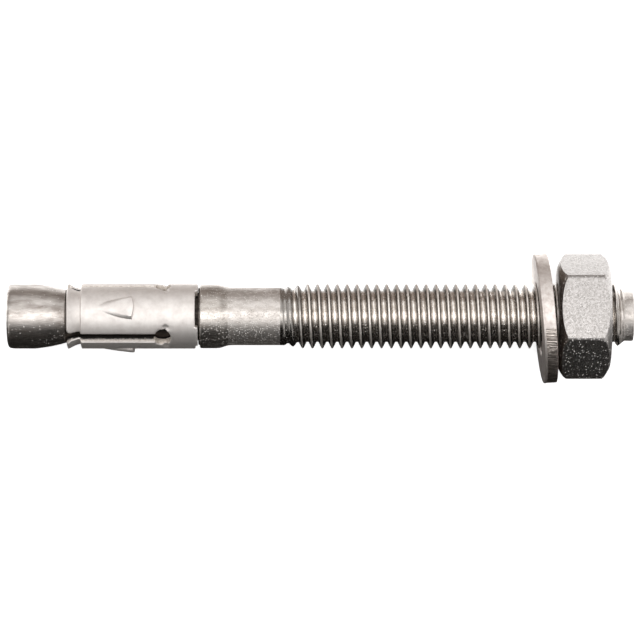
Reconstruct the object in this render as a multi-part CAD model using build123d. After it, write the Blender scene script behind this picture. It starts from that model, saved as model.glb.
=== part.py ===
from build123d import *
import os
from math import cos, pi, radians, sin, sqrt, tan

# Wedge anchor, lying on its side along X. The origin is the middle of the cone's end face,
# X runs to the nut and Z is up, away from the ground that it lies on. Millimetres.
# Angles round the axis are counted from the top, positive towards -Y.

# Cone bolt: cone head, neck, collar, shank, thread and spigot, turned and rolled from one bar
HEAD_RADIUS = 4.9
HEAD_FACE_RADIUS = 4.26
HEAD_EDGE_LENGTH = 0.84
HEAD_EDGE_BREAK_SHARE = 0.29
HEAD_LENGTH = 4.1
TAPER_LENGTH = 6.2
TAPER_END_ANGLE = 15.0
TAPER_LINE_LENGTH = 1.5
TAPER_MIDDLE_DROP_SHARE = 0.36
NECK_RADIUS = 3.62
NECK_LENGTH = 18.9
COLLAR_RADIUS = 4.85
COLLAR_LENGTH = 3.0
COLLAR_EDGE = 0.4
COLLAR_TAPER_LENGTH = 1.25
SHANK_RADIUS = 4.38
SHANK_LENGTH = 8.05
RUN_OUT_LENGTH = 3.4
THREAD_RADIUS = 4.87
THREAD_PITCH = 1.5
THREAD_LENGTH = 48.0
THREAD_END_LENGTH = 0.75
SPIGOT_RADIUS = 3.73
SPIGOT_LENGTH = 1.35
SPIGOT_EDGE = 0.2

# Expansion clip: one strip of sheet steel wrapped round the neck
CLIP_CLEARANCE = 0.08
CLIP_WALL = 1.2
CLIP_LENGTH = 19.85
CLIP_COLLAR_GAP = 0.3
CLIP_EDGE = 0.15
LIP_LENGTH = 1.7
LIP_EDGE = 0.2
LIP_RADIUS = 4.93
GROOVE_RADIUS = 4.22
GROOVE_LENGTH = 0.4
SLIT_WIDTH = 1.65
SLIT_MOUTH_CORNER = 0.7
SLIT_ANGLES = (44.0, -76.0, 164.0)
SEAM_ANGLE = 164.0
SEAM_WIDTH = 0.45
HOLE_FROM_COLLAR_END = 5.3
HOLE_LENGTH = 2.6
HOLE_WIDTH = 3.3
DIMPLE_RADIUS = 0.55
DIMPLE_DEPTH = 0.3
DIMPLE_PAST_HOLE = 0.5
DIMPLE_ANGLE = 22.0
DART_ANGLES = (-16.0, 104.0, 224.0)
DART_TIP_FROM_COLLAR_END = 15.6
DART_BASE_FROM_COLLAR_END = 9.9
DART_HALF_WIDTH = 1.85
DART_BELLY = 0.33
DART_BASE_BOW = 0.3
DART_HEIGHT = 0.65
DART_POCKET_DEPTH = 0.5
DART_POCKET_SHARE = 0.7
NOTCH_SPAN = 72.0
NOTCH_DEPTH = 0.4

# Washer: stamped disc, loose on the thread, that stands on its rim and carries the bolt
WASHER_RADIUS = 9.85
WASHER_HOLE_RADIUS = 5.6
WASHER_THICKNESS = 2.0
WASHER_ROLLED_EDGE = 0.25
WASHER_TURN = 4.6
WASHER_LEAN = 1.4
WASHER_PLAY_USED = 0.88
WASHER_SIDE_ANGLE = 34.0
WASHER_NUT_GAP = 0.1

# Hex nut
NUT_ACROSS_FLATS = 16.8
NUT_HEIGHT = 8.0
NUT_CHAMFER_ANGLE = 30.0
NUT_CHAMFER_RADIUS = 7.7
NUT_THREAD_CLEARANCE = 0.06
NUT_COUNTERSINK = 0.45
NUT_CORNER_ANGLE = -9.0
NUT_FROM_THREAD_END = 1.4

# Places along X that follow from the lengths
taper_end = HEAD_LENGTH + TAPER_LENGTH
collar_start = taper_end + NECK_LENGTH
collar_end = collar_start + COLLAR_LENGTH
shank_start = collar_end + COLLAR_TAPER_LENGTH
shank_end = shank_start + SHANK_LENGTH
thread_start = shank_end + RUN_OUT_LENGTH
thread_end = thread_start + THREAD_LENGTH
spigot_start = thread_end + THREAD_END_LENGTH
bolt_end = spigot_start + SPIGOT_LENGTH
clip_end = collar_start - CLIP_COLLAR_GAP
clip_start = clip_end - CLIP_LENGTH
clip_bore = NECK_RADIUS + CLIP_CLEARANCE
clip_radius = clip_bore + CLIP_WALL
groove_start = clip_start + LIP_LENGTH
sleeve_start = groove_start + GROOVE_LENGTH
hole_centre = clip_end - HOLE_FROM_COLLAR_END
nut_end = thread_end - NUT_FROM_THREAD_END
nut_start = nut_end - NUT_HEIGHT
taper_slope = tan(radians(TAPER_END_ANGLE))


def turned(outline):
    """A solid of revolution about X from one closed outline drawn in X and radius."""
    return revolve(make_face(outline), Axis.X)


def cone_bolt():
    """The bolt with its plain thread cylinder, from the cone's end face to the spigot."""
    line_start = taper_end - TAPER_LINE_LENGTH
    line_radius = NECK_RADIUS + TAPER_LINE_LENGTH * taper_slope
    curve_drop = HEAD_RADIUS - line_radius
    curve_length = line_start - HEAD_LENGTH
    curve_middle = (HEAD_LENGTH + curve_length / 2, HEAD_RADIUS - TAPER_MIDDLE_DROP_SHARE * curve_drop)
    edge_break = (
        HEAD_EDGE_LENGTH * HEAD_EDGE_BREAK_SHARE,
        HEAD_RADIUS - (HEAD_RADIUS - HEAD_FACE_RADIUS) * HEAD_EDGE_BREAK_SHARE,
    )
    spigot_edge_start = bolt_end - SPIGOT_EDGE
    outline = [
        Polyline(
            (0, 0),
            (0, HEAD_FACE_RADIUS),
            edge_break,
            (HEAD_EDGE_LENGTH, HEAD_RADIUS),
            (HEAD_LENGTH, HEAD_RADIUS),
        ),
        ThreePointArc((HEAD_LENGTH, HEAD_RADIUS), curve_middle, (line_start, line_radius)),
        Polyline(
            (line_start, line_radius),
            (taper_end, NECK_RADIUS),
            (collar_start, NECK_RADIUS),
            (collar_start, COLLAR_RADIUS - COLLAR_EDGE),
            (collar_start + COLLAR_EDGE, COLLAR_RADIUS),
            (collar_end, COLLAR_RADIUS),
            (shank_start, SHANK_RADIUS),
            (shank_end, SHANK_RADIUS),
            (thread_start, THREAD_RADIUS),
            (thread_end, THREAD_RADIUS),
            (spigot_start, SPIGOT_RADIUS),
            (spigot_edge_start, SPIGOT_RADIUS),
            (bolt_end, SPIGOT_RADIUS - SPIGOT_EDGE),
            (bolt_end, 0),
            (0, 0),
        ),
    ]
    return turned(outline)


def clip_sleeve():
    """The wrapped wall before it is cut: flared lip, groove, sleeve and flared bore."""
    lip_crest = clip_start + LIP_EDGE
    bore_flare = clip_bore + (taper_end - clip_start) * taper_slope
    outline = Polyline(
        (clip_start, bore_flare),
        (clip_start, LIP_RADIUS - LIP_EDGE),
        (lip_crest, LIP_RADIUS),
        (groove_start, GROOVE_RADIUS),
        (sleeve_start, GROOVE_RADIUS),
        (sleeve_start, clip_radius - CLIP_EDGE),
        (sleeve_start + CLIP_EDGE, clip_radius),
        (clip_end - CLIP_EDGE, clip_radius),
        (clip_end, clip_radius - CLIP_EDGE),
        (clip_end, clip_bore),
        (taper_end, clip_bore),
        (clip_start, bore_flare),
    )
    return turned(outline)


def radial_plane(angle):
    """A plane through the axis whose own X runs along the bolt and whose normal points outwards."""
    outwards = (0, -sin(radians(angle)), cos(radians(angle)))
    return Plane(origin=(0, 0, 0), x_dir=(1, 0, 0), z_dir=outwards)


def radial_cut(sketch, angle):
    """A sketch in X and arc length, pushed out from the axis through one side of the wall."""
    return extrude(radial_plane(angle) * sketch, amount=2 * clip_radius)


def slit_cut(angle):
    """A slit from the lip into its hole, with open corners at the lip, and the oval hole that ends it."""
    slit_length = hole_centre - clip_start
    mouth_side = sqrt(2) * (SLIT_WIDTH / 2 + SLIT_MOUTH_CORNER)
    slit = Pos(clip_start) * Rectangle(2 * slit_length, SLIT_WIDTH)
    mouth = Pos(clip_start) * Rot(Z=45) * Rectangle(mouth_side, mouth_side)
    hole = Pos(hole_centre) * Ellipse(HOLE_LENGTH / 2, HOLE_WIDTH / 2)
    return radial_cut(slit, angle) + radial_cut(mouth, angle) + radial_cut(hole, angle)


def dimple_cut(angle):
    """A shallow round dimple in the outside of the wall, that runs into the rim of a hole."""
    floor = clip_radius - DIMPLE_DEPTH
    disc = Pos(hole_centre + DIMPLE_PAST_HOLE) * Circle(DIMPLE_RADIUS)
    return extrude(radial_plane(angle).offset(floor) * disc, amount=clip_radius)


def seam_cut():
    """The gap between the strip's two ends, from the hidden hole to the collar end."""
    seam_length = clip_end - hole_centre
    seam = Pos(hole_centre + seam_length) * Rectangle(2 * seam_length, SEAM_WIDTH)
    return radial_cut(seam, SEAM_ANGLE)


def dart_outline(share):
    """The dart seen from outside: a curved point towards the cone and a bowed step behind."""
    tip = clip_end - DART_TIP_FROM_COLLAR_END
    base = clip_end - DART_BASE_FROM_COLLAR_END
    length = base - tip
    half_width = DART_HALF_WIDTH * share
    point = base - length * share
    middle = (point + base) / 2
    side = half_width / 2 + DART_BELLY * share
    sides = [
        ThreePointArc((point, 0), (middle, side), (base, half_width)),
        ThreePointArc((base, half_width), (base + DART_BASE_BOW, 0), (base, -half_width)),
        ThreePointArc((base, -half_width), (middle, -side), (point, 0)),
    ]
    return make_face(sides)


def ramp(start, end, low, high, core):
    """A ring about X whose outside rises from one radius to another."""
    outline = Polyline((start, core), (start, low), (end, high), (end, core), (start, core))
    return turned(outline)


def dart(angle):
    """A raised dart: it rises from the sleeve at its point to a step at its base."""
    tip = clip_end - DART_TIP_FROM_COLLAR_END
    base = clip_end - DART_BASE_FROM_COLLAR_END
    high = clip_radius + DART_HEIGHT
    wedge = ramp(tip, base + DART_BASE_BOW, clip_radius, high, clip_bore + CLIP_WALL / 2)
    return wedge & radial_cut(dart_outline(1.0), angle)


def dart_pocket(angle):
    """The hollow that the punch leaves in the bore under a dart."""
    tip = clip_end - DART_TIP_FROM_COLLAR_END
    base = clip_end - DART_BASE_FROM_COLLAR_END
    deep = clip_bore + DART_POCKET_DEPTH
    hollow = ramp(tip, base + DART_BASE_BOW, clip_bore, deep, clip_bore / 2)
    return hollow & radial_cut(dart_outline(DART_POCKET_SHARE), angle)


def notch_cut(angle):
    """A shallow step in the collar end of the clip, over a sector centred on a dart."""
    ring = Pos(clip_end) * Rot(Y=90) * Cylinder(2 * clip_radius, 2 * NOTCH_DEPTH)
    half_span = radians(NOTCH_SPAN / 2)
    reach = 3 * clip_radius
    side = reach * tan(half_span)
    wedge = make_face(Polyline((0, 0), (-side, reach), (side, reach), (0, 0)))
    return ring & Rot(X=angle) * extrude(Plane.YZ * wedge, amount=2 * clip_end)


def expansion_clip():
    """The clip with its slits, holes, seam, darts and notches, still one piece."""
    clip = clip_sleeve()
    for angle in DART_ANGLES:
        clip = clip + dart(angle) - dart_pocket(angle) - notch_cut(angle)
    for angle in SLIT_ANGLES:
        clip = clip - slit_cut(angle) - dimple_cut(angle - DIMPLE_ANGLE) - dimple_cut(angle + DIMPLE_ANGLE)
    return clip - seam_cut()


def washer():
    """The washer as it stands: a little turned and leaning, lifted and to one side by its play."""
    half = WASHER_THICKNESS / 2
    rim = WASHER_RADIUS
    edge = WASHER_ROLLED_EDGE
    outline = Polyline(
        (-half, WASHER_HOLE_RADIUS),
        (-half, rim - edge),
        (edge - half, rim),
        (half, rim),
        (half, WASHER_HOLE_RADIUS),
        (-half, WASHER_HOLE_RADIUS),
    )
    tilt = radians(sqrt(WASHER_TURN**2 + WASHER_LEAN**2))
    play = WASHER_HOLE_RADIUS * cos(tilt) - half * sin(tilt) - THREAD_RADIUS
    reach = half * cos(tilt) + rim * sin(tilt)
    shift = WASHER_PLAY_USED * play
    side = radians(WASHER_SIDE_ANGLE)
    place = Pos(nut_start - WASHER_NUT_GAP - reach, -shift * sin(side), shift * cos(side))
    return place * Rot(Y=WASHER_LEAN) * Rot(Z=WASHER_TURN) * turned(outline)


def nut_blank():
    """A body of revolution that chamfers the corners of the hexagon at both faces."""
    corner = NUT_ACROSS_FLATS / sqrt(3)
    drop = (corner - NUT_CHAMFER_RADIUS) * tan(radians(NUT_CHAMFER_ANGLE))
    outline = Polyline(
        (nut_start, 0),
        (nut_start, NUT_CHAMFER_RADIUS),
        (nut_start + drop, corner),
        (nut_end - drop, corner),
        (nut_end, NUT_CHAMFER_RADIUS),
        (nut_end, 0),
        (nut_start, 0),
    )
    return turned(outline)


def nut_bore():
    """The bore that clears the thread, countersunk at both ends."""
    bore = THREAD_RADIUS + NUT_THREAD_CLEARANCE
    mouth = bore + NUT_COUNTERSINK
    outline = Polyline(
        (nut_start, 0),
        (nut_start, mouth),
        (nut_start + NUT_COUNTERSINK, bore),
        (nut_end - NUT_COUNTERSINK, bore),
        (nut_end, mouth),
        (nut_end, 0),
        (nut_start, 0),
    )
    return turned(outline)


def hex_nut():
    """The nut, with one corner near +Y and a little below the axis."""
    hexagon = RegularPolygon(NUT_ACROSS_FLATS / 2, 6, major_radius=False)
    corner_side = Plane(origin=(nut_start, 0, 0), x_dir=(0, 1, 0), z_dir=(1, 0, 0))
    prism = extrude(corner_side * Rot(Z=NUT_CORNER_ANGLE) * hexagon, amount=NUT_HEIGHT)
    return (prism & nut_blank()) - nut_bore()


parts = {
    "cone_bolt": cone_bolt(),
    "expansion_clip": expansion_clip(),
    "washer": washer(),
    "hex_nut": hex_nut(),
}

os.makedirs("parts", exist_ok=True)
for name, shape in parts.items():
    export_step(shape, f"parts/{name}.step")

travel_in = nut_start - thread_start
travel_out = thread_end - nut_start - THREAD_PITCH
print("nut travel in mm:", round(-travel_in, 3), round(travel_out, 3))
print("nut turn in degrees:", round(-360 * travel_in / THREAD_PITCH), round(360 * travel_out / THREAD_PITCH))
print("travel for each radian in m:", THREAD_PITCH / 1000 / (2 * pi))
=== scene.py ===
from math import atan2, cos, hypot, pi, radians, sin, sqrt, tan

import bmesh
import bpy
from mathutils import Matrix, Vector


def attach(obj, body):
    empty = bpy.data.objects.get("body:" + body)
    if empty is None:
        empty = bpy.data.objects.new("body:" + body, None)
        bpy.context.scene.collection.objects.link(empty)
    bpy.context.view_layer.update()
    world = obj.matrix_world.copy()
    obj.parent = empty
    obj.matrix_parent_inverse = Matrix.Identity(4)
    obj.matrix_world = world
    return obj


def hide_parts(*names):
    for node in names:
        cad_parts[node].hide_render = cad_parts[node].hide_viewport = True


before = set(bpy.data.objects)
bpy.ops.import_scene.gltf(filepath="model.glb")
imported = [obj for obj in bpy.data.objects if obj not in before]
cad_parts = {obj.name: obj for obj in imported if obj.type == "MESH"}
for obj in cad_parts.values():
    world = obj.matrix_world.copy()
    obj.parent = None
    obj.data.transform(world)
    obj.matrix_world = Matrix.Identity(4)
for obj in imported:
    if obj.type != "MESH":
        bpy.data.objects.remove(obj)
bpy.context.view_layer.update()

# The wedge anchor lies along X with Z up, and the camera looks down on it.
# Lengths are in millimetres, and each mesh goes to metres when it is finished.
# Angles round the bolt are counted from the top, positive towards -Y, the picture's lower side.
METRES = 0.001

# Cone bolt: cone, neck, collar and shank
HEAD_RADIUS = 4.9
HEAD_FACE_RADIUS = 4.26
HEAD_EDGE_LENGTH = 0.84
HEAD_LENGTH = 4.1
TAPER_END = 10.3
TAPER_LINE_LENGTH = 1.5
TAPER_ANGLE = 15.0
TAPER_BOW_SHARE = 0.36
TAPER_STEPS = 12
NECK_RADIUS = 3.62
COLLAR_START = 29.2
COLLAR_END = 32.2
COLLAR_RADIUS = 4.85
SHOULDER_START = 28.98
SHOULDER_RADIUS = 4.35
SHANK_START = 33.45
SHANK_RADIUS = 4.38
COLLAR_SLOPE_END = SHANK_START - 0.1
# Where the neck under the clip takes its painted shade
NECK_SHADE_START = TAPER_END - 1.0
NECK_SHADE_END = COLLAR_START + 0.02

# Thread, rolled up out of the shank, and the spigot beyond it
THREAD_RUN_OUT_START = 41.4
THREAD_START = 44.9
THREAD_END = 92.9
THREAD_PITCH = 1.5
CREST_RADIUS = 4.87
CREST_HALF_WIDTH = 0.14
CREST_FLAT_HALF_WIDTH = 0.08
CREST_SHOULDER_DROP = 0.06
ROOT_RADIUS = 3.87
ROOT_HALF_WIDTH = 0.3
ROOT_RISE = 0.3
ROOT_ROUND_SHARE = 0.2
ROOT_STEPS = 4
CREST_PLACE = 44.43
THREAD_STEPS = 90
TURNS_BEFORE_START = 2
TURNS_ADDED = 5
RUBBED_CREST_DEPTHS = (0.12, 0.05)
RUN_OUT_RISE_POWER = 1.55
RUN_OUT_CUT_POWER = 0.58
THREAD_CHAMFER_START = 92.2
SPIGOT_START = 93.65
SPIGOT_RADIUS = 3.73
BOLT_END = 95.0
SPIGOT_EDGE = 0.22

# Expansion clip: its sheet is cut flat, then wrapped round the neck
CLIP_START = 9.05
CLIP_END = 28.9
CLIP_BORE = 3.7
CLIP_RADIUS = 4.9
LIP_RADIUS = 4.93
LIP_CREST = 9.3
LIP_EDGE_DROP = 0.22
LIP_BEND = 0.25
GROOVE_RADIUS = 4.22
GROOVE_START = 10.85
GROOVE_END = 11.12
SLEEVE_START = 11.32
SLEEVE_EDGE_POWER = 0.6
SLIT_ANGLES = (-76.0, 44.0)
SEAM_ANGLE = 164.0
SLIT_HALF_WIDTH = 0.825
SLIT_MOUTH_CORNER = 0.7
SLIT_MOUTH_EASE = (0.12, 0.3)
SLIT_MOUTH_BEND = (0.55, 0.14)
SEAM_HALF_WIDTH = 0.225
HOLE_PLACE = 23.6
HOLE_HALF_LENGTH = 1.3
HOLE_HALF_WIDTH = 1.65
HOLE_STEPS = 12
DIMPLE_RADIUS = 0.55
DIMPLE_DEPTH = 0.3
DIMPLE_PAST_HOLE = 0.5
DIMPLE_ANGLE = 22.0
DART_ANGLES = (-136.0, -16.0, 104.0)
DART_TIP = 13.3
DART_BASE = 19.0
DART_HALF_WIDTH = 1.85
DART_BELLY = 0.33
DART_BASE_BOW = 0.3
DART_BASE_SLOPE = 0.3
DART_HEIGHT = 0.6
DART_POCKET_SHARE = 0.8
DART_SIDES = ((0.93, 0.5), (0.72, 1.0))
DART_SIDE_STEPS = 9
DART_BASE_STEPS = 6
NOTCH_HALF_SPAN = 36.0
NOTCH_DEPTH = 0.4
NOTCH_WALL_TOP = 0.1
NOTCH_WALL_FOOT = 0.05
SHEARED_EDGE = 0.22
SHEARED_RINGS = ((0.2, 0.5), (0.3, 0.15), (0.5, 0.0))

# The flat sheet is 1 mm thick, to keep its faces apart. Wrapped, each face gets its own radius.
FLAT_THICKNESS = 1.0
FLAT_MIDDLE = -0.5
BEND_STEPS = 144
WALL_SLOT, INSIDE_SLOT, SLIT_SLOT = 1, 2, 3

# Where the flat sheet is cut across, so that it can take its lip, groove, darts and dimples
LIP_STATIONS = (9.15, 9.22, LIP_CREST, 9.45, 9.7, 10.0, 10.3, 10.6, GROOVE_START)
GROOVE_STATIONS = (11.0, GROOVE_END, 11.14, 11.18, 11.24, SLEEVE_START, 11.5)
SLEEVE_STATIONS = (12.2, 19.4, 19.8, 21.0, 25.5, 28.1, 28.4)
DART_STATIONS = tuple(12.7 + 0.45 * step for step in range(15))
HOLE_STATIONS = (22.25, *(23.5 + 0.15 * step for step in range(9)))

# Washer, loose on the thread
WASHER_RADIUS = 9.85
WASHER_HOLE_RADIUS = 5.6
WASHER_THICKNESS = 2.0
WASHER_TURN = 4.6
WASHER_LEAN = 1.4
WASHER_CENTRE = (81.578, -0.3083, 0.457)
WASHER_STEPS = 160
WASHER_FACE_SKIN = 0.02
WASHER_TORN_START = -0.6
WASHER_TORN_SIDE = -1.4
WASHER_TORN_STEP = (0.03, 0.05)

# Hex nut
NUT_START = 83.5
NUT_END = 91.5
NUT_ACROSS_FLATS = 16.8
NUT_CORNER_ANGLE = -9.0
NUT_CHAMFER_ANGLE = 30.0
NUT_CHAMFER_RADIUS = 7.7
NUT_BLANK_MARGIN = 0.3
NUT_CORNER_ROUNDING = 0.35
NUT_THREAD_CLEARANCE = 0.06
NUT_THREAD_DEPTH = 0.85
NUT_COUNTERSINK = 0.45
NUT_STEPS = 144
NUT_CUTTER_ENDS = (NUT_START - 1, NUT_END + 1)

# Camera, as the photograph saw the anchor
CAMERA_HEIGHT = 700.0
CAMERA_MIDDLE = (47.44, -0.555)
PICTURE_WIDTH = 97.31
SENSOR_WIDTH = 36.0

# The studio: the floor slopes, as the anchor rests on the rims of its cone and its washer
MIDDLE = (47.5, 0.0, 0.0)
FLOOR_NEAR = (HEAD_EDGE_LENGTH, -HEAD_RADIUS)
FLOOR_FAR = (WASHER_CENTRE[0] + 1.0, WASHER_CENTRE[2] - WASHER_RADIUS)
FLOOR_GAP = 0.03
FLOOR_LIFT = 0.65
WORLD_STRENGTH = 0.45


def on_bolt(x, radius, angle):
    """The point at a radius and an angle in radians round the bolt's axis."""
    return Vector((x, -radius * sin(angle), radius * cos(angle)))


def radius_of(place):
    return hypot(place.y, place.z)


def angle_of(place):
    return atan2(-place.y, place.z)


def rounded(corners, segments=4):
    """An outline through corners given as (x, r, rounding), each rounding drawn as a short curve."""
    points = []
    for index, (x, r, rounding) in enumerate(corners):
        corner = Vector((x, r))
        if rounding == 0 or index in (0, len(corners) - 1):
            points.append(corner)
            continue
        before = Vector(corners[index - 1][:2]) - corner
        after = Vector(corners[index + 1][:2]) - corner
        start = corner + before.normalized() * min(rounding, before.length / 2)
        end = corner + after.normalized() * min(rounding, after.length / 2)
        for step in range(segments + 1):
            share = step / segments
            points.append(start.lerp(corner, share).lerp(corner.lerp(end, share), share))
    return points


def draw_line(mesh, points, closed=False):
    """Edges from point to point, in X and radius, drawn on top of the bolt."""
    corners = [mesh.verts.new((point[0], 0, point[1])) for point in points]
    edges = [mesh.edges.new(pair) for pair in zip(corners, corners[1:])]
    if closed:
        edges.append(mesh.edges.new((corners[-1], corners[0])))
    return corners + edges


def spin_round(mesh, outline, steps):
    """Spins an outline through a full turn about the bolt's axis."""
    bmesh.ops.spin(
        mesh, geom=outline, cent=(0, 0, 0), axis=(1, 0, 0), dvec=(0, 0, 0),
        angle=2 * pi, steps=steps, use_merge=True, use_duplicate=False,
    )


def clean(mesh, distance=0.0005):
    """Merges the points that lie on each other and turns every face outwards."""
    bmesh.ops.remove_doubles(mesh, verts=mesh.verts[:], dist=distance)
    bmesh.ops.recalc_face_normals(mesh, faces=mesh.faces[:])


def cut_off(mesh, place, normal):
    """Cuts the mesh by a plane and takes away what lies on the side of its normal."""
    geometry = mesh.verts[:] + mesh.edges[:] + mesh.faces[:]
    bmesh.ops.bisect_plane(
        mesh, geom=geometry, dist=1e-5, plane_co=place, plane_no=normal, clear_outer=True,
    )


def finish_piece(mesh, name, materials, body, sharp_angle=40.0):
    """Puts a mesh in the scene in metres, in place of the CAD node of the same name."""
    bmesh.ops.scale(mesh, vec=(METRES,) * 3, verts=mesh.verts[:])
    data = bpy.data.meshes.new(name + "_finished")
    mesh.to_mesh(data)
    mesh.free()
    for material in materials:
        data.materials.append(material)
    data.shade_smooth()
    data.set_sharp_from_angle(angle=radians(sharp_angle))
    piece = bpy.data.objects.new(name + "_finished", data)
    bpy.context.scene.collection.objects.link(piece)
    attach(piece, body)
    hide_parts(name)


def tone(hex_text):
    """A colour written as sRGB hex, as the linear values that the shaders take."""
    channels = [int(hex_text[place:place + 2], 16) / 255 for place in (1, 3, 5)]
    linear = [c / 12.92 if c <= 0.04045 else ((c + 0.055) / 1.055) ** 2.4 for c in channels]
    return (*linear, 1.0)


def add_node(tree, kind, settings=None, inputs=None):
    """Adds a node, gives it its settings, and sets or links its inputs."""
    node = tree.nodes.new(kind)
    for name, value in (settings or {}).items():
        setattr(node, name, value)
    for name, value in (inputs or {}).items():
        if isinstance(value, bpy.types.NodeSocket):
            tree.links.new(value, node.inputs[name])
        else:
            node.inputs[name].default_value = value
    return node


PIT_ROUGHNESS = 0.95
# Near-white floors of the dents: a painted glint
PIT_PAINTED_GLINT = "#FBF8F5"
PIT_RIM = (0.02, 0.36)
TEAR_MM = 0.5
CREST_ROUGHNESS_ADDED = 0.25


def add_pits(tree, places, pits, colour, roughness, bump):
    """Small dents with rough floors that catch the light from every side, painted near white as a painted
    glint.

    They are given as their spacing and depth in millimetres and the share of places that have one.
    Returns the colour, roughness and bump nodes' results with the dents in them.
    """
    spacing, depth, share = pits
    dents = add_node(
        tree, "ShaderNodeTexVoronoi", {},
        {"Vector": places.outputs["Object"], "Scale": 1 / (spacing * METRES), "Randomness": 1.0},
    )
    hollows = add_node(
        tree, "ShaderNodeMapRange", {"interpolation_type": "SMOOTHSTEP"},
        {"Value": dents.outputs["Distance"], "From Min": PIT_RIM[0], "From Max": PIT_RIM[1]},
    )
    chance = add_node(tree, "ShaderNodeSeparateColor", {}, {"Color": dents.outputs["Color"]})
    untouched = add_node(
        tree, "ShaderNodeMath", {"operation": "GREATER_THAN"}, {0: chance.outputs[0], 1: share},
    )
    surface = add_node(
        tree, "ShaderNodeMath", {"operation": "MAXIMUM"},
        {0: hollows.outputs["Result"], 1: untouched.outputs[0]},
    )
    roughness = add_node(
        tree, "ShaderNodeMapRange", {},
        {"Value": surface.outputs[0], "To Min": PIT_ROUGHNESS, "To Max": roughness.outputs["Result"]},
    )
    colour = add_node(
        tree, "ShaderNodeMix", {"data_type": "RGBA"},
        {0: surface.outputs[0], 6: tone(PIT_PAINTED_GLINT), 7: colour},
    ).outputs[2]
    bump = add_node(
        tree, "ShaderNodeBump", {},
        {
            "Height": surface.outputs[0], "Strength": 1.0, "Distance": depth * METRES,
            "Normal": bump.outputs["Normal"],
        },
    )
    return colour, roughness, bump


def steel(name, light, dark, patch_mm, rough, grain_mm, grain_height_mm, streak_share=1.0, pits=None):
    """Bare stainless steel: two near tones in soft patches, and a fine grain that breaks up the shine.

    A streak share under 1 draws the patches out along the bolt, as a die or a drawing tool leaves them.
    The real grain is some hundredths of a millimetre wide. It is drawn coarser, so that it still shows
    in a picture of 6.6 pixels for a millimetre. Patches and dents are as wide as the photograph has them.
    """
    material = bpy.data.materials.new(name)
    material.use_nodes = True
    tree = material.node_tree
    shader = tree.nodes["Principled BSDF"]
    shader.inputs["Metallic"].default_value = 1.0
    places = add_node(tree, "ShaderNodeTexCoord")
    streaks = add_node(
        tree, "ShaderNodeMapping", {},
        {"Vector": places.outputs["Object"], "Scale": (streak_share, 1.0, 1.0)},
    )
    patches = add_node(
        tree, "ShaderNodeTexNoise", {},
        {"Vector": streaks.outputs[0], "Scale": 1 / (patch_mm * METRES), "Detail": 5.0, "Roughness": 0.62},
    )
    colours = add_node(tree, "ShaderNodeValToRGB", {}, {"Fac": patches.outputs["Fac"]})
    colours.color_ramp.elements[0].position = 0.32
    colours.color_ramp.elements[0].color = tone(dark)
    colours.color_ramp.elements[1].position = 0.62
    colours.color_ramp.elements[1].color = tone(light)
    colour = colours.outputs["Color"]
    grain = add_node(
        tree, "ShaderNodeTexNoise", {},
        {"Vector": streaks.outputs[0], "Scale": 1 / (grain_mm * METRES), "Detail": 3.0, "Roughness": 0.6},
    )
    roughness = add_node(
        tree, "ShaderNodeMapRange", {},
        {
            "Value": patches.outputs["Fac"], "From Min": 0.3, "From Max": 0.7,
            "To Min": rough[1], "To Max": rough[0],
        },
    )
    bump = add_node(
        tree, "ShaderNodeBump", {},
        {"Height": grain.outputs["Fac"], "Strength": 1.0, "Distance": grain_height_mm * METRES},
    )
    if pits:
        colour, roughness, bump = add_pits(tree, places, pits, colour, roughness, bump)
    tree.links.new(colour, shader.inputs["Base Color"])
    tree.links.new(roughness.outputs["Result"], shader.inputs["Roughness"])
    tree.links.new(bump.outputs["Normal"], shader.inputs["Normal"])
    return material


def tone_by_radius(material, shares, ragged_mm=0.0):
    """Darkens a steel by its distance from the bolt's axis: pairs of a radius in mm and a share kept.

    The bands' borders wander by the ragged distance, as a torn edge does.
    """
    tree = material.node_tree
    places = add_node(tree, "ShaderNodeTexCoord")
    across = add_node(
        tree, "ShaderNodeVectorMath", {"operation": "MULTIPLY"},
        {0: places.outputs["Object"], 1: (0, 1, 1)},
    )
    radius = add_node(tree, "ShaderNodeVectorMath", {"operation": "LENGTH"}, {0: across.outputs[0]})
    radius.name = "radius"
    tears = add_node(
        tree, "ShaderNodeTexNoise", {},
        {"Vector": places.outputs["Object"], "Scale": 1 / (TEAR_MM * METRES), "Detail": 3.0},
    )
    wandering = add_node(
        tree, "ShaderNodeMath", {"operation": "MULTIPLY_ADD"},
        {0: tears.outputs["Fac"], 1: 2 * ragged_mm * METRES, 2: radius.outputs["Value"]},
    )
    nearest, farthest = shares[0][0], shares[-1][0]
    share = add_node(
        tree, "ShaderNodeMapRange", {},
        {
            "Value": wandering.outputs[0], "From Min": (nearest + ragged_mm) * METRES,
            "From Max": (farthest + ragged_mm) * METRES,
        },
    )
    ramp = add_node(tree, "ShaderNodeValToRGB", {}, {"Fac": share.outputs["Result"]})
    stops = ramp.color_ramp.elements
    stops[0].color = (*[shares[0][1]] * 3, 1.0)
    stops[1].color = (*[shares[-1][1]] * 3, 1.0)
    for distance, kept in shares[1:-1]:
        stop = stops.new((distance - nearest) / (farthest - nearest))
        stop.color = (kept, kept, kept, 1.0)
    base = tree.nodes["Principled BSDF"].inputs["Base Color"]
    mixed = add_node(
        tree, "ShaderNodeMix", {"data_type": "RGBA", "blend_type": "MULTIPLY"},
        {0: 1.0, 6: base.links[0].from_socket, 7: ramp.outputs["Color"]},
    )
    tree.links.new(mixed.outputs[2], base)


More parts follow.
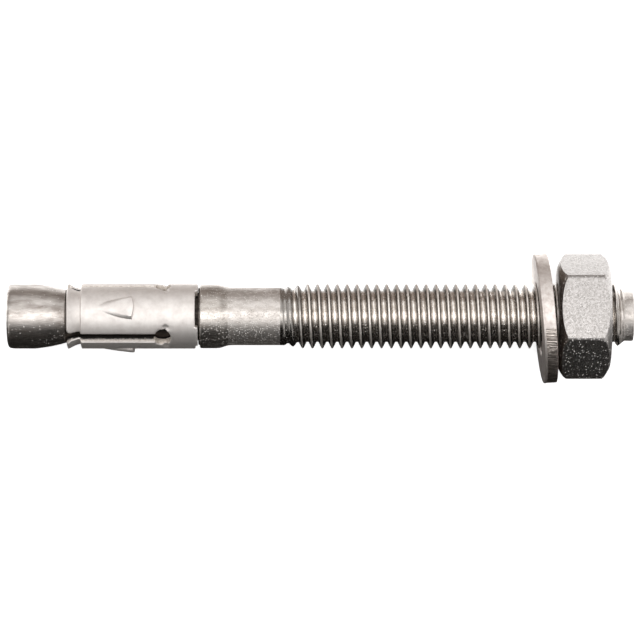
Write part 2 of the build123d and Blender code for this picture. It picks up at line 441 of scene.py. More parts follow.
def rub_crests(material):
    """Dulls a thread's crests, which rub against everything that the bolt is thrown in with."""
    tree = material.node_tree
    first, full = [(CREST_RADIUS - depth) * METRES for depth in RUBBED_CREST_DEPTHS]
    rubbed = add_node(
        tree, "ShaderNodeMapRange", {},
        {
            "Value": tree.nodes["radius"].outputs["Value"], "From Min": first, "From Max": full,
            "To Max": CREST_ROUGHNESS_ADDED,
        },
    )
    rough = tree.nodes["Principled BSDF"].inputs["Roughness"]
    both = add_node(
        tree, "ShaderNodeMath", {"operation": "ADD"},
        {0: rough.links[0].from_socket, 1: rubbed.outputs["Result"]},
    )
    tree.links.new(both.outputs[0], rough)


# Cold-headed stainless bar, left as it comes from the die: satin, with long streaks
cold_headed_bar = steel(
    "cold_headed_bar", "#BBB5B0", "#8A827C", patch_mm=0.9, rough=(0.3, 0.44),
    grain_mm=0.16, grain_height_mm=0.016, streak_share=0.3, pits=(0.3, 0.04, 0.15),
)
# The shank between collar and thread, and the spigot: the same bar, but dulled and finely dented
dented_shank = steel(
    "dented_shank", "#CAC4BF", "#ABA49E", patch_mm=0.7, rough=(0.44, 0.54),
    grain_mm=0.16, grain_height_mm=0.018, streak_share=0.5, pits=(0.26, 0.05, 0.95),
)
# The collar and its shoulder: formed by the die like the shank, but smoother
smooth_collar = steel(
    "smooth_collar", "#BEB8B2", "#9C948D", patch_mm=0.9, rough=(0.3, 0.42),
    grain_mm=0.16, grain_height_mm=0.014, streak_share=0.3, pits=(0.26, 0.05, 0.8),
)
# The neck under the clip: never touched by a tool again, and painted dark: painted shade where it shows
# through the clip's slits and gaps
neck_painted_shade = steel(
    "neck_painted_shade", "#5A534D", "#2E2A27", patch_mm=0.8, rough=(0.45, 0.6),
    grain_mm=0.16, grain_height_mm=0.01, streak_share=0.3,
)
# Rolled thread: the dies burnish its crests and roots, and its flanks are painted darker: painted shade
# between the crests
rolled_thread = steel(
    "rolled_thread", "#E6E0DA", "#CDC5BD", patch_mm=0.8, rough=(0.2, 0.3),
    grain_mm=0.12, grain_height_mm=0.008, pits=(0.35, 0.05, 0.35),
)
# Shares kept by radius: the flanks are darkened as painted shade
FLANK_PAINTED_SHADE = ((3.87, 1.0), (4.0, 1.0), (4.18, 0.44), (4.73, 0.44), (4.81, 1.0), (4.87, 1.0))
tone_by_radius(rolled_thread, FLANK_PAINTED_SHADE)
rub_crests(rolled_thread)
# Pressed stainless strip, tumbled: pale satin, with faint rubbed marks
tumbled_strip = steel(
    "tumbled_strip", "#DBD6D2", "#CEC8C4", patch_mm=1.6, rough=(0.58, 0.66),
    grain_mm=0.25, grain_height_mm=0.006,
)
# The punched walls of its holes and ends: bright and rough
sheared_wall = steel(
    "sheared_wall", "#DCD5CD", "#C4BAB0", patch_mm=0.4, rough=(0.7, 0.85),
    grain_mm=0.12, grain_height_mm=0.012,
)
# The walls of its long slits: burnished outside by the punch and torn inside, and painted dark towards the
# bore: painted shade in the slit's depth
slit_wall = steel(
    "slit_wall", "#E6E0DA", "#D2C9C1", patch_mm=0.4, rough=(0.6, 0.75),
    grain_mm=0.12, grain_height_mm=0.012,
)
# Painted shade: the slit walls darken towards the bore, with a ragged border
tone_by_radius(slit_wall, ((3.7, 0.1), (4.1, 0.1), (4.35, 1.0), (4.9, 1.0)), ragged_mm=0.3)
# The strip's inside, painted dark like the neck: painted shade
bore_painted_shade = steel(
    "bore_painted_shade", "#5A534D", "#2E2A27", patch_mm=0.8, rough=(0.45, 0.6),
    grain_mm=0.16, grain_height_mm=0.01,
)
# Stamped stainless sheet: pale with a warm cast
stamped_sheet = steel(
    "stamped_sheet", "#D0C9C4", "#BBB1AB", patch_mm=0.7, rough=(0.48, 0.6),
    grain_mm=0.16, grain_height_mm=0.014,
)
# The part of the washer's rim that the punch tore instead of cutting: ridged along the bolt, and dark
torn_rim = steel(
    "torn_rim", "#CBC1B9", "#6E645D", patch_mm=0.3, rough=(0.26, 0.38),
    grain_mm=0.2, grain_height_mm=0.14, streak_share=0.1,
)
# The washer's face towards the nut, painted dark: painted shade in the narrow gap at the nut
nut_side_painted_shade = steel(
    "nut_side_painted_shade", "#857465", "#5E5146", patch_mm=0.8, rough=(0.5, 0.6),
    grain_mm=0.16, grain_height_mm=0.01,
)
# Cold-formed nut: matt, with small dents all over
cold_formed_nut = steel(
    "cold_formed_nut", "#ACA8A6", "#87837F", patch_mm=0.3, rough=(0.34, 0.45),
    grain_mm=0.13, grain_height_mm=0.018, pits=(0.4, 0.07, 0.75),
)


def thread_profile(first_crest, crests):
    """The thread's outline along X: narrow crests, flanks at 30 degrees, and wide round roots."""
    shoulder = CREST_RADIUS - CREST_SHOULDER_DROP
    half = THREAD_PITCH / 2
    one_pitch = [
        (-CREST_HALF_WIDTH, shoulder), (-CREST_FLAT_HALF_WIDTH, CREST_RADIUS),
        (CREST_FLAT_HALF_WIDTH, CREST_RADIUS), (CREST_HALF_WIDTH, shoulder),
    ]
    for step in range(-ROOT_STEPS, ROOT_STEPS + 1):
        share = step / ROOT_STEPS
        rise = ROOT_RISE * (ROOT_ROUND_SHARE * share**2 + (1 - ROOT_ROUND_SHARE) * share**4)
        one_pitch.append((half + ROOT_HALF_WIDTH * share, ROOT_RADIUS + rise))
    points = []
    for crest in range(crests):
        start = first_crest + crest * THREAD_PITCH
        points += [(start + along, radius) for along, radius in one_pitch]
    points.append((first_crest + crests * THREAD_PITCH - CREST_HALF_WIDTH, shoulder))
    return points


def spin_thread(mesh, start, end, growth=0.0):
    """A right-hand thread surface that reaches past both ends, made larger by a growth."""
    first = CREST_PLACE + THREAD_PITCH * (int((start - CREST_PLACE) / THREAD_PITCH) - TURNS_BEFORE_START)
    crests = int((end - start) / THREAD_PITCH) + TURNS_ADDED
    points = [(x, radius + growth) for x, radius in thread_profile(first, crests)]
    line = draw_line(mesh, points)
    bmesh.ops.spin(
        mesh, geom=line, cent=(0, 0, 0), axis=(1, 0, 0), dvec=(THREAD_PITCH / THREAD_STEPS, 0, 0),
        angle=2 * pi, steps=THREAD_STEPS, use_merge=False, use_duplicate=False,
    )
    bmesh.ops.remove_doubles(mesh, verts=mesh.verts[:], dist=0.0005)


def run_out_radius(x, radius):
    """The thread's radius where it fades into the shank, and where its end is chamfered."""
    if x < THREAD_START:
        share = max(0.0, (x - THREAD_RUN_OUT_START) / (THREAD_START - THREAD_RUN_OUT_START))
        power = RUN_OUT_RISE_POWER if radius > SHANK_RADIUS else RUN_OUT_CUT_POWER
        return SHANK_RADIUS + (radius - SHANK_RADIUS) * share**power
    slope = (CREST_RADIUS - SPIGOT_RADIUS) / (SPIGOT_START - THREAD_CHAMFER_START)
    return min(radius, CREST_RADIUS - max(0.0, x - THREAD_CHAMFER_START) * slope)


def shape_thread_ends(mesh):
    """Fades the thread into the shank at one end and chamfers it at the other."""
    for vertex in mesh.verts:
        place = vertex.co
        vertex.co = on_bolt(place.x, run_out_radius(place.x, radius_of(place)), angle_of(place))


def lathe_on(mesh, loop, outline):
    """Draws an open round edge of the mesh out along an outline in X and radius."""
    for point in outline:
        grown = bmesh.ops.extrude_edge_only(mesh, edges=loop)["geom"]
        loop = [part for part in grown if isinstance(part, bmesh.types.BMEdge)]
        for vertex in {vertex for edge in loop for vertex in edge.verts}:
            vertex.co = on_bolt(point[0], point[1], angle_of(vertex.co))
    return loop


def open_edges(mesh, x, reach=0.02):
    """The mesh's border edges at a place along the bolt."""
    border = [edge for edge in mesh.edges if edge.is_boundary]
    return [edge for edge in border if all(abs(vertex.co.x - x) < reach for vertex in edge.verts)]


def cone_outline():
    """From the run-out back along the shank, collar, neck and cone to the middle of the end face."""
    line_start = TAPER_END - TAPER_LINE_LENGTH
    line_radius = NECK_RADIUS + TAPER_LINE_LENGTH * tan(radians(TAPER_ANGLE))
    shank = rounded([
        (THREAD_RUN_OUT_START, SHANK_RADIUS, 0), (SHANK_START, SHANK_RADIUS, 0.7),
        (COLLAR_END, COLLAR_RADIUS, 0.5), (COLLAR_START, COLLAR_RADIUS, 0.45),
        (COLLAR_START, SHOULDER_RADIUS, 0.03), (SHOULDER_START, SHOULDER_RADIUS, 0.05),
        (SHOULDER_START, NECK_RADIUS, 0.1), (TAPER_END, NECK_RADIUS, 0.5), (line_start, line_radius, 0),
    ])
    bow = Vector((HEAD_LENGTH, HEAD_RADIUS)).lerp(Vector((line_start, line_radius)), 0.5)
    bow.y = HEAD_RADIUS - TAPER_BOW_SHARE * (HEAD_RADIUS - line_radius)
    control = 2 * bow - (Vector((HEAD_LENGTH, HEAD_RADIUS)) + Vector((line_start, line_radius))) / 2
    taper = []
    for step in range(1, TAPER_STEPS + 1):
        share = step / TAPER_STEPS
        first = Vector((line_start, line_radius)).lerp(control, share)
        taper.append(first.lerp(control.lerp(Vector((HEAD_LENGTH, HEAD_RADIUS)), share), share))
    head = rounded([
        (HEAD_LENGTH, HEAD_RADIUS, 0), (HEAD_EDGE_LENGTH / 3, HEAD_RADIUS, 0.9), (0, HEAD_FACE_RADIUS, 0.3),
        (0, HEAD_FACE_RADIUS - 0.5, 0),
    ], segments=6)
    return shank[1:] + taper + head[1:]


def face_material(mesh, index, start, end):
    """Gives the faces between two places along the bolt another of the piece's materials."""
    for face in mesh.faces:
        if start < face.calc_center_median().x < end:
            face.material_index = index


def finish_bolt():
    """The bolt: its thread is spun, and the rest is drawn out of the thread's two open ends."""
    mesh = bmesh.new()
    spin_thread(mesh, THREAD_RUN_OUT_START, BOLT_END)
    cut_off(mesh, (THREAD_RUN_OUT_START, 0, 0), (-1, 0, 0))
    cut_off(mesh, (SPIGOT_START, 0, 0), (1, 0, 0))
    shape_thread_ends(mesh)
    end_face = lathe_on(mesh, open_edges(mesh, THREAD_RUN_OUT_START), cone_outline())
    bmesh.ops.contextual_create(mesh, geom=end_face)
    spigot = rounded([
        (SPIGOT_START, SPIGOT_RADIUS, 0), (BOLT_END, SPIGOT_RADIUS, SPIGOT_EDGE), (BOLT_END, 1.0, 0),
    ])
    spigot_face = lathe_on(mesh, open_edges(mesh, SPIGOT_START), spigot[1:])
    bmesh.ops.contextual_create(mesh, geom=spigot_face)
    clean(mesh)
    # The numbers below are places in this list.
    materials = [cold_headed_bar, rolled_thread, neck_painted_shade, dented_shank, smooth_collar]
    face_material(mesh, 1, THREAD_RUN_OUT_START, THREAD_END)
    # Painted shade on the neck under the clip
    face_material(mesh, 2, NECK_SHADE_START, NECK_SHADE_END)
    face_material(mesh, 3, COLLAR_SLOPE_END, THREAD_RUN_OUT_START)
    face_material(mesh, 3, THREAD_END, BOLT_END + 1.0)
    face_material(mesh, 4, NECK_SHADE_END, COLLAR_SLOPE_END)
    finish_piece(mesh, "cone_bolt", materials, "bolt_body")


def finish_washer():
    """A punched disc: rolled over on the side the punch came from, and torn sharp on the other."""
    mesh = bmesh.new()
    half = WASHER_THICKNESS / 2
    middle_radius = (WASHER_HOLE_RADIUS + WASHER_RADIUS) / 2
    torn_along, torn_in = WASHER_TORN_STEP
    outline = rounded([
        (-half, middle_radius, 0), (-half, WASHER_RADIUS, 0.45),
        (WASHER_TORN_START - torn_along, WASHER_RADIUS, 0), (WASHER_TORN_START, WASHER_RADIUS - torn_in, 0),
        (half, WASHER_RADIUS, 0.12), (half, WASHER_HOLE_RADIUS, 0.12), (-half, WASHER_HOLE_RADIUS, 0.35),
        (-half, middle_radius, 0),
    ])
    spin_round(mesh, draw_line(mesh, outline[:-1], closed=True), WASHER_STEPS)
    clean(mesh)
    nut_side = half - WASHER_FACE_SKIN
    for face in mesh.faces:
        middle = face.calc_center_median()
        if WASHER_TORN_START < middle.x < nut_side and middle.y < WASHER_TORN_SIDE:
            face.material_index = 1
    # The face towards the nut takes its painted shade
    face_material(mesh, 2, nut_side, half + WASHER_FACE_SKIN)
    turn = Matrix.Rotation(radians(WASHER_LEAN), 4, "Y") @ Matrix.Rotation(radians(WASHER_TURN), 4, "Z")
    bmesh.ops.transform(mesh, matrix=Matrix.Translation(WASHER_CENTRE) @ turn, verts=mesh.verts[:])
    materials = [stamped_sheet, torn_rim, nut_side_painted_shade]
    finish_piece(mesh, "washer", materials, "washer_body")


def solid_from(mesh, name):
    """A plain object for a boolean, which is taken away again once it has been used."""
    data = bpy.data.meshes.new(name)
    mesh.to_mesh(data)
    mesh.free()
    solid = bpy.data.objects.new(name, data)
    bpy.context.scene.collection.objects.link(solid)
    return solid


def combine(base, tool, operation):
    """The result of an exact boolean of two closed meshes, as a new bmesh."""
    first = solid_from(base, "boolean_base")
    second = solid_from(tool, "boolean_tool")
    step = first.modifiers.new("boolean", "BOOLEAN")
    step.operation = operation
    step.solver = "EXACT"
    step.object = second
    result = bmesh.new()
    result.from_object(first, bpy.context.evaluated_depsgraph_get())
    for solid in (first, second):
        data = solid.data
        bpy.data.objects.remove(solid)
        bpy.data.meshes.remove(data)
    return result


def nut_prism():
    """A hexagon along X whose six long edges are rounded."""
    mesh = bmesh.new()
    corner = NUT_ACROSS_FLATS / sqrt(3)
    length = NUT_END - NUT_START
    bmesh.ops.create_cone(
        mesh, cap_ends=True, cap_tris=False, segments=6, radius1=corner, radius2=corner, depth=length,
    )
    long_edges = [edge for edge in mesh.edges if abs(edge.verts[0].co.z - edge.verts[1].co.z) > length / 2]
    bmesh.ops.bevel(
        mesh, geom=long_edges, offset=NUT_CORNER_ROUNDING, offset_type="OFFSET", affect="EDGES",
        segments=5, profile=0.5, material=-1,
    )
    turn = Matrix.Rotation(radians(NUT_CORNER_ANGLE), 4, "X") @ Matrix.Rotation(radians(90), 4, "Y")
    place = Matrix.Translation(((NUT_START + NUT_END) / 2, 0, 0))
    bmesh.ops.transform(mesh, matrix=place @ turn, verts=mesh.verts[:])
    return mesh


def nut_blank():
    """What the nut's corners are turned down to at both faces."""
    mesh = bmesh.new()
    corner = NUT_ACROSS_FLATS / sqrt(3) + NUT_BLANK_MARGIN
    drop = (corner - NUT_CHAMFER_RADIUS) * tan(radians(NUT_CHAMFER_ANGLE))
    outline = rounded([
        (NUT_START, 0, 0), (NUT_START, NUT_CHAMFER_RADIUS, 0.6), (NUT_START + drop, corner, 1.5),
        (NUT_END - drop, corner, 1.5), (NUT_END, NUT_CHAMFER_RADIUS, 0.6), (NUT_END, 0, 0),
    ], segments=7)
    spin_round(mesh, draw_line(mesh, outline), NUT_STEPS)
    clean(mesh)
    return mesh


def nut_bore():
    """What the nut's threaded hole is cut with: the bolt's thread, a little larger, and cut off shallower."""
    mesh = bmesh.new()
    spin_thread(mesh, NUT_START, NUT_END, NUT_THREAD_CLEARANCE)
    cut_off(mesh, (NUT_CUTTER_ENDS[0], 0, 0), (-1, 0, 0))
    cut_off(mesh, (NUT_CUTTER_ENDS[1], 0, 0), (1, 0, 0))
    crest = CREST_RADIUS + NUT_THREAD_CLEARANCE
    for vertex in mesh.verts:
        x = vertex.co.x
        past = max(NUT_START + NUT_COUNTERSINK - x, x - NUT_END + NUT_COUNTERSINK)
        least = max(crest - NUT_THREAD_DEPTH, crest + past)
        if radius_of(vertex.co) < least:
            vertex.co = on_bolt(x, least, angle_of(vertex.co))
    for place in NUT_CUTTER_ENDS:
        bmesh.ops.contextual_create(mesh, geom=open_edges(mesh, place))
    clean(mesh)
    return mesh


def finish_nut():
    """The nut: a prism, turned down at its corners, and threaded."""
    mesh = combine(nut_prism(), nut_blank(), "INTERSECT")
    mesh = combine(mesh, nut_bore(), "DIFFERENCE")
    clean(mesh)
    finish_piece(mesh, "hex_nut", [cold_formed_nut], "nut_body")


def arc_length(angle):
    """The distance round the flat sheet that stands for an angle in degrees."""
    return CLIP_RADIUS * radians(angle)


def hole_angle(across):
    """The angle round the oval hole at which it is this far from the slit's middle."""
    share = across / HOLE_HALF_WIDTH
    return atan2(share, sqrt(1 - share * share))


def slit_side(middle, side, seam=False):
    """One side of a slit, from the lip to the end of its hole, on the side of the sheet that side names."""
    mouth = SLIT_HALF_WIDTH + SLIT_MOUTH_CORNER
    ease_along, ease_in = SLIT_MOUTH_EASE
    bend_share, bend_out = SLIT_MOUTH_BEND
    points = [
        (CLIP_START, middle + side * mouth),
        (CLIP_START + ease_along, middle + side * (mouth - ease_in)),
        (CLIP_START + SLIT_MOUTH_CORNER * bend_share, middle + side * (SLIT_HALF_WIDTH + bend_out)),
        (CLIP_START + SLIT_MOUTH_CORNER, middle + side * SLIT_HALF_WIDTH),
    ]
    first_angle = pi - hole_angle(SLIT_HALF_WIDTH)
    last_angle = hole_angle(SEAM_HALF_WIDTH if seam else 0.0)
    for step in range(HOLE_STEPS + 1):
        angle = first_angle + (last_angle - first_angle) * step / HOLE_STEPS
        across = HOLE_HALF_WIDTH * sin(angle)
        points.append((HOLE_PLACE + HOLE_HALF_LENGTH * cos(angle), middle + side * across))
    return points


def collar_end_outline():
    """The clip's end at the collar, from the last seam side back to the first, with its three notches."""
    points = []
    floor = CLIP_END - NOTCH_DEPTH
    for angle in sorted(DART_ANGLES, reverse=True):
        high = arc_length(angle + NOTCH_HALF_SPAN)
        low = arc_length(angle - NOTCH_HALF_SPAN)
        points += [
            (CLIP_END, high + NOTCH_WALL_TOP), (floor, high - NOTCH_WALL_FOOT),
            (floor, low + NOTCH_WALL_FOOT), (CLIP_END, low - NOTCH_WALL_TOP),
        ]
    return points


def sheet_outline():
    """The whole edge of the flat sheet, in X and distance round, starting at the first seam side."""
    seam_low = arc_length(SEAM_ANGLE - 360)
    seam_high = arc_length(SEAM_ANGLE)
    points = [(CLIP_END, seam_low + SEAM_HALF_WIDTH)]
    points += reversed(slit_side(seam_low, 1, seam=True))
    for angle in SLIT_ANGLES:
        middle = arc_length(angle)
        points += slit_side(middle, -1)
        points += list(reversed(slit_side(middle, 1)))[1:]
    points += slit_side(seam_high, -1, seam=True)
    points.append((CLIP_END, seam_high - SEAM_HALF_WIDTH))
    return points + collar_end_outline()


def dart_outline(angle, share, base_back=0.0):
    """A dart's edge on the flat sheet: a curved point towards the cone, and a bowed base."""
    middle = arc_length(angle)
    length = (DART_BASE - DART_TIP) * share
    half_width = DART_HALF_WIDTH * share
    base = DART_BASE - base_back
    sides = []
    for step in range(1, DART_SIDE_STEPS + 1):
        along = step / DART_SIDE_STEPS
        width = half_width * along + 4 * DART_BELLY * share * along * (1 - along)
        sides.append((base - length * (1 - along), width))
    points = [(base - length, middle)]
    points += [(x, middle + width) for x, width in sides]
    for step in range(1, DART_BASE_STEPS):
        across = 1 - step / (DART_BASE_STEPS / 2)
        points.append((base + DART_BASE_BOW * (1 - across * across), middle + half_width * across))
    points += [(x, middle - width) for x, width in reversed(sides)]
    return points


def draw_loop(mesh, points):
    """A closed line on the flat sheet, in X and distance round."""
    corners = [mesh.verts.new((x, along, 0)) for x, along in points]
    return [mesh.edges.new(pair) for pair in zip(corners, corners[1:] + corners[:1])]


def sheet_edge_rings(mesh, sheet, drop):
    """Three rings inside the sheet's cut edge, which fall away towards it as sheared edges do."""
    for vertex in sheet.verts:
        vertex[drop] = SHEARED_EDGE
    for width, fall in SHEARED_RINGS:
        bmesh.ops.inset_region(
            mesh, faces=[sheet], thickness=SHEARED_EDGE * width, use_boundary=True, use_even_offset=True,
        )
        for vertex in sheet.verts:
            vertex[drop] = SHEARED_EDGE * fall


def lip_profile(x):
    """The outer radius of the wrapped sheet along X: flared lip, groove, sleeve."""
    if x < LIP_CREST:
        share = (LIP_CREST - x) / (LIP_CREST - CLIP_START)
        return LIP_RADIUS - LIP_EDGE_DROP * share * share
    if x < GROOVE_START:
        share = (x - LIP_CREST) / (GROOVE_START - LIP_CREST)
        return LIP_RADIUS - (LIP_RADIUS - GROOVE_RADIUS) * ((1 + LIP_BEND) * share - LIP_BEND * share**3)
    if x < GROOVE_END:
        return GROOVE_RADIUS
    if x < SLEEVE_START:
        share = (x - GROOVE_END) / (SLEEVE_START - GROOVE_END)
        return GROOVE_RADIUS + (CLIP_RADIUS - GROOVE_RADIUS) * sin(share * pi / 2) ** SLEEVE_EDGE_POWER
    return CLIP_RADIUS


def bore_profile(x):
    """The inner radius of the wrapped sheet along X: it opens over the cone."""
    return CLIP_BORE + max(0.0, TAPER_END - x) * tan(radians(TAPER_ANGLE))


def dimple_drop(x, angle):
    """How far the sheet is pressed in by the small round marks on both sides of its holes."""
    drop = 0.0
    for slit in (*SLIT_ANGLES, SEAM_ANGLE, SEAM_ANGLE - 360):
        for side in (-DIMPLE_ANGLE, DIMPLE_ANGLE):
            across = CLIP_RADIUS * (angle - radians(slit + side))
            reach = hypot(x - HOLE_PLACE - DIMPLE_PAST_HOLE, across) / DIMPLE_RADIUS
            drop += DIMPLE_DEPTH * max(0.0, 1 - reach**4)
    return drop


def cut_lines(mesh, places, normal):
    """Cuts the flat sheet by a row of parallel planes, so that it can be bent or shaped there."""
    for place in places:
        geometry = mesh.verts[:] + mesh.edges[:] + mesh.faces[:]
        point = Vector(normal) * place
        bmesh.ops.bisect_plane(mesh, geom=geometry, dist=1e-4, plane_co=point, plane_no=normal)


def draw_dart(mesh, angle, raised):
    """Draws a dart on the flat sheet, with sloped sides and a flat top, and returns the line round it."""
    outer = draw_loop(mesh, dart_outline(angle, 1.0))
    loop = outer
    for share, rise in DART_SIDES:
        outline = dart_outline(angle, share, base_back=DART_BASE_SLOPE * (1 - share))
        next_loop = draw_loop(mesh, outline)
        for edge in next_loop:
            for vertex in edge.verts:
                along = max(0.0, vertex.co.x - DART_TIP) / (DART_BASE - DART_TIP)
                vertex[raised] = DART_HEIGHT * rise * along
        bmesh.ops.bridge_loops(mesh, edges=loop + next_loop)
        loop = next_loop
    bmesh.ops.contextual_create(mesh, geom=loop)
    return outer


def fill_sheet(mesh, border):
    """Fills the flat sheet between its edge and the darts, and marks the fill's own edges as seams."""
    kept = set(mesh.edges)
    bmesh.ops.triangle_fill(mesh, use_beauty=True, use_dissolve=False, edges=border, normal=(0, 0, 1))
    for edge in mesh.edges:
        edge.seam = edge not in kept
    bmesh.ops.recalc_face_normals(mesh, faces=mesh.faces[:])
    if sum(face.normal.z for face in mesh.faces) < 0:
        bmesh.ops.reverse_faces(mesh, faces=mesh.faces[:])


def cut_for_bending(mesh):
    """Cuts the flat sheet lengthwise and across, and then takes the fill's own edges away."""
    whole = arc_length(360)
    start = arc_length(SEAM_ANGLE - 360)
    cut_lines(mesh, [start + whole * step / BEND_STEPS for step in range(1, BEND_STEPS)], (0, 1, 0))
    cut_lines(mesh, LIP_STATIONS + GROOVE_STATIONS + SLEEVE_STATIONS, (1, 0, 0))
    cut_lines(mesh, DART_STATIONS + HOLE_STATIONS, (1, 0, 0))
    fill_edges = [edge for edge in mesh.edges if edge.seam]
    bmesh.ops.dissolve_edges(mesh, edges=fill_edges, use_verts=True, use_face_split=True)


def thicken_sheet(mesh):
    """Gives the flat sheet its inner face and its walls, each with a material of its own."""
    bmesh.ops.solidify(mesh, geom=mesh.faces[:], thickness=FLAT_THICKNESS)
    for face in mesh.faces:
        depths = [vertex.co.z for vertex in face.verts]
        # The inner face takes the painted shade of the bore
        if max(depths) < FLAT_MIDDLE:
            face.material_index = INSIDE_SLOT
        elif min(depths) < FLAT_MIDDLE:
            in_slit = max(vertex.co.x for vertex in face.verts) < HOLE_PLACE - HOLE_HALF_LENGTH
            face.material_index = SLIT_SLOT if in_slit else WALL_SLOT


def wrap_sheet(mesh, raised, drop):
    """Wraps the thickened sheet round the neck, with its lip, groove, darts, dimples and sheared edges."""
    for vertex in mesh.verts:
        x, along, depth = vertex.co
        angle = along / CLIP_RADIUS
        if depth > FLAT_MIDDLE:
            radius = lip_profile(x) + vertex[raised] - vertex[drop] - dimple_drop(x, angle)
        else:
            radius = bore_profile(x) + vertex[raised] * DART_POCKET_SHARE + vertex[drop]
        vertex.co = on_bolt(x, radius, angle)
    bmesh.ops.recalc_face_normals(mesh, faces=mesh.faces[:])


def finish_clip():
    """The strip: cut flat with its slits, holes and darts, thickened, then wrapped round the neck."""
    mesh = bmesh.new()
    drop = mesh.verts.layers.float.new("edge_drop")
    raised = mesh.verts.layers.float.new("raised")
    corners = [mesh.verts.new((x, along, 0)) for x, along in sheet_outline()]
    sheet = mesh.faces.new(corners)
    sheet_edge_rings(mesh, sheet, drop)
    border = sheet.edges[:]
    bmesh.ops.delete(mesh, geom=[sheet], context="FACES_ONLY")
    for angle in DART_ANGLES:
        border += draw_dart(mesh, angle, raised)
    fill_sheet(mesh, border)
    cut_for_bending(mesh)
    thicken_sheet(mesh)
    wrap_sheet(mesh, raised, drop)
    materials = [tumbled_strip, sheared_wall, bore_painted_shade, slit_wall]
    finish_piece(mesh, "expansion_clip", materials, "clip_body")


finish_bolt()
finish_clip()
finish_washer()
finish_nut()


def floor_height(x):
    """The sloping floor's height, a hair below the rims that the anchor rests on."""
    slope = (FLOOR_FAR[1] - FLOOR_NEAR[1]) / (FLOOR_FAR[0] - FLOOR_NEAR[0])
    return FLOOR_NEAR[1] + (x - FLOOR_NEAR[0]) * slope - FLOOR_GAP


def stage_piece(name, corners, material):
    """A flat stage piece between corners in millimetres."""
    mesh = bmesh.new()
    mesh.faces.new([mesh.verts.new(Vector(corner) * METRES) for corner in corners])
    data = bpy.data.meshes.new(name)
    mesh.to_mesh(data)
    mesh.free()
    data.materials.append(material)
    piece = bpy.data.objects.new(name, data)
    bpy.context.scene.collection.objects.link(piece)
    return piece


def lying(x_range, y_range, lift=0.0):
    """The corners of a rectangle that lies on the sloping floor, or a little above it."""
    (start, end), (near, far) = x_range, y_range
    corners = ((start, near), (end, near), (end, far), (start, far))
    return [(x, y, floor_height(x) + lift) for x, y in corners]


def standing(y, half_width, z_range):
    """The corners of a rectangle that stands across the picture, centred on the anchor's middle."""
    (start, end), (low, high) = (MIDDLE[0] - half_width, MIDDLE[0] + half_width), z_range
    return [(start, y, low), (end, y, low), (end, y, high), (start, y, high)]


def seen_rays(tree):
    """A value of 1 for the rays that should find the background white: camera, mirror and glass rays."""
    path = add_node(tree, "ShaderNodeLightPath")
    either = add_node(
        tree, "ShaderNodeMath", {"operation": "MAXIMUM"},
        {0: path.outputs["Is Camera Ray"], 1: path.outputs["Is Glossy Ray"]},
    )
    return add_node(
        tree, "ShaderNodeMath", {"operation": "MAXIMUM"},
        {0: either.outputs[0], 1: path.outputs["Is Transmission Ray"]},
    ).outputs[0]


def pale_floor_material():
    """Matt white paper: it takes the soft shadow, and is lifted to white where nothing shades it."""
    material = bpy.data.materials.new("matt_white_paper")
    material.use_nodes = True
    tree = material.node_tree
    shader = tree.nodes["Principled BSDF"]
    shader.inputs["Base Color"].default_value = tone("#F0EFED")
    shader.inputs["Roughness"].default_value = 0.9
    shader.inputs["Specular IOR Level"].default_value = 0.1
    glow = add_node(tree, "ShaderNodeEmission", {}, {"Color": tone("#FFFFFF")})
    lift = add_node(
        tree, "ShaderNodeMath", {"operation": "MULTIPLY"}, {0: seen_rays(tree), 1: FLOOR_LIFT},
    )
    tree.links.new(lift.outputs[0], glow.inputs["Strength"])
    both = add_node(tree, "ShaderNodeAddShader", {}, {0: shader.outputs[0], 1: glow.outputs[0]})
    tree.links.new(both.outputs[0], tree.nodes["Material Output"].inputs["Surface"])
    return material


def card_material(name, colour, strength=1.0):
    """A matt card that the shiny steel mirrors and that the camera doesn't see."""
    material = bpy.data.materials.new(name)
    material.use_nodes = True
    shader = material.node_tree.nodes["Principled BSDF"]
    shader.inputs["Base Color"].default_value = tone("#000000")
    shader.inputs["Specular IOR Level"].default_value = 0.0
    shader.inputs["Emission Color"].default_value = tone(colour)
    shader.inputs["Emission Strength"].default_value = strength
    return material


def add_card(name, material, corners):
    """Puts a card in the studio that only mirror rays find."""
    card = stage_piece(name, corners, material)
    card.visible_camera = False
    card.visible_diffuse = False
    card.visible_shadow = False
    card.visible_transmission = False
    card.visible_volume_scatter = False


def add_lamp(name, place, target, size, power):
    """A soft rectangular lamp, its place and size in millimetres and its power in watts."""
    light = bpy.data.lights.new(name, "AREA")
    light.shape = "RECTANGLE"
    light.size = size[0] * METRES
    light.size_y = size[1] * METRES
    light.energy = power
    lamp = bpy.data.objects.new(name, light)
    lamp.location = Vector(place) * METRES
    lamp.rotation_euler = (Vector(target) - Vector(place)).to_track_quat("-Z", "Y").to_euler()
    lamp.visible_camera = False
    bpy.context.scene.collection.objects.link(lamp)


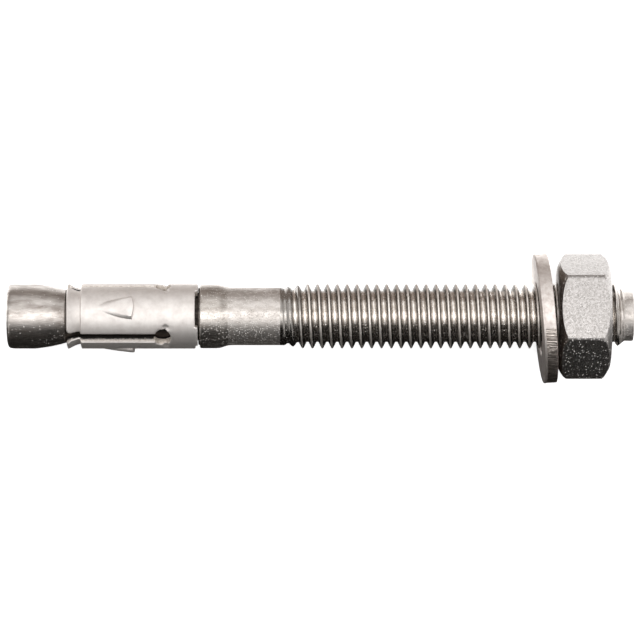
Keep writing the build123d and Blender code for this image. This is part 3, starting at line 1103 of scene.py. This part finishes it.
def add_world():
    """An even pale room, seen as white by the camera and in the steel."""
    world = bpy.data.worlds.new("studio")
    bpy.context.scene.world = world
    world.use_nodes = True
    tree = world.node_tree
    background = tree.nodes["Background"]
    background.inputs["Color"].default_value = tone("#FFFFFF")
    strength = add_node(
        tree, "ShaderNodeMapRange", {},
        {"Value": seen_rays(tree), "To Min": WORLD_STRENGTH, "To Max": 1.0},
    )
    tree.links.new(strength.outputs["Result"], background.inputs["Strength"])


def add_camera():
    """The photograph's camera, straight above the anchor."""
    data = bpy.data.cameras.new("photograph_camera")
    data.sensor_width = SENSOR_WIDTH
    data.lens = SENSOR_WIDTH * CAMERA_HEIGHT / PICTURE_WIDTH
    data.clip_start = 0.01
    data.clip_end = 10.0
    camera = bpy.data.objects.new("photograph_camera", data)
    camera.location = Vector((*CAMERA_MIDDLE, CAMERA_HEIGHT)) * METRES
    bpy.context.scene.collection.objects.link(camera)
    bpy.context.scene.camera = camera


add_world()
add_camera()

# The lamps' places and sizes in millimetres, and their power in watts
add_lamp("softbox_over_camera", (47.5, 45, 900), MIDDLE, (2200, 560), 6.3)
add_lamp("softbox_behind", (47.5, 680, 600), MIDDLE, (600, 620), 0.67)
add_lamp("strip_beside_camera", (47.5, 62, 880), MIDDLE, (1300, 32), 0.9)
stage_piece("floor", lying((-1450, 1550), (-1500, 1500)), pale_floor_material())

# What the steel mirrors: dark below the anchor in the picture, brown above it, white strips beside it
black_card = card_material("black_card", "#1C1A18")
brown_card = card_material("brown_card", "#A89D96")
white_card = card_material("white_card", "#FFFFFF", 2.1)
pale_card = card_material("pale_card", "#FFFFFF", 0.9)
bright_card = card_material("bright_card", "#FFFFFF", 2.4)
add_card("black_card_low", black_card, lying((-800, 145), (-501, -1), 0.3))
add_card("black_card_tall", black_card, standing(-500, 550, (-20, 820)))
add_card("brown_card_low", brown_card, lying((-750, 850), (-1, 500), 0.2))
add_card("brown_card_tall", brown_card, standing(500, 800, (-20, 140)))
add_card("white_card_by_clip", white_card, lying((-788, 41.5), (-1, 13), 0.4))
add_card("white_card_by_cone", white_card, lying((-788, 12), (-1, 17), 0.5))
add_card("pale_card_by_thread", pale_card, lying((41.5, 876), (-1, 10), 0.4))
add_card("bright_card_by_nut", bright_card, lying((76, 876), (-1, 33), 0.5))

bpy.context.scene.view_settings.view_transform = "Standard"
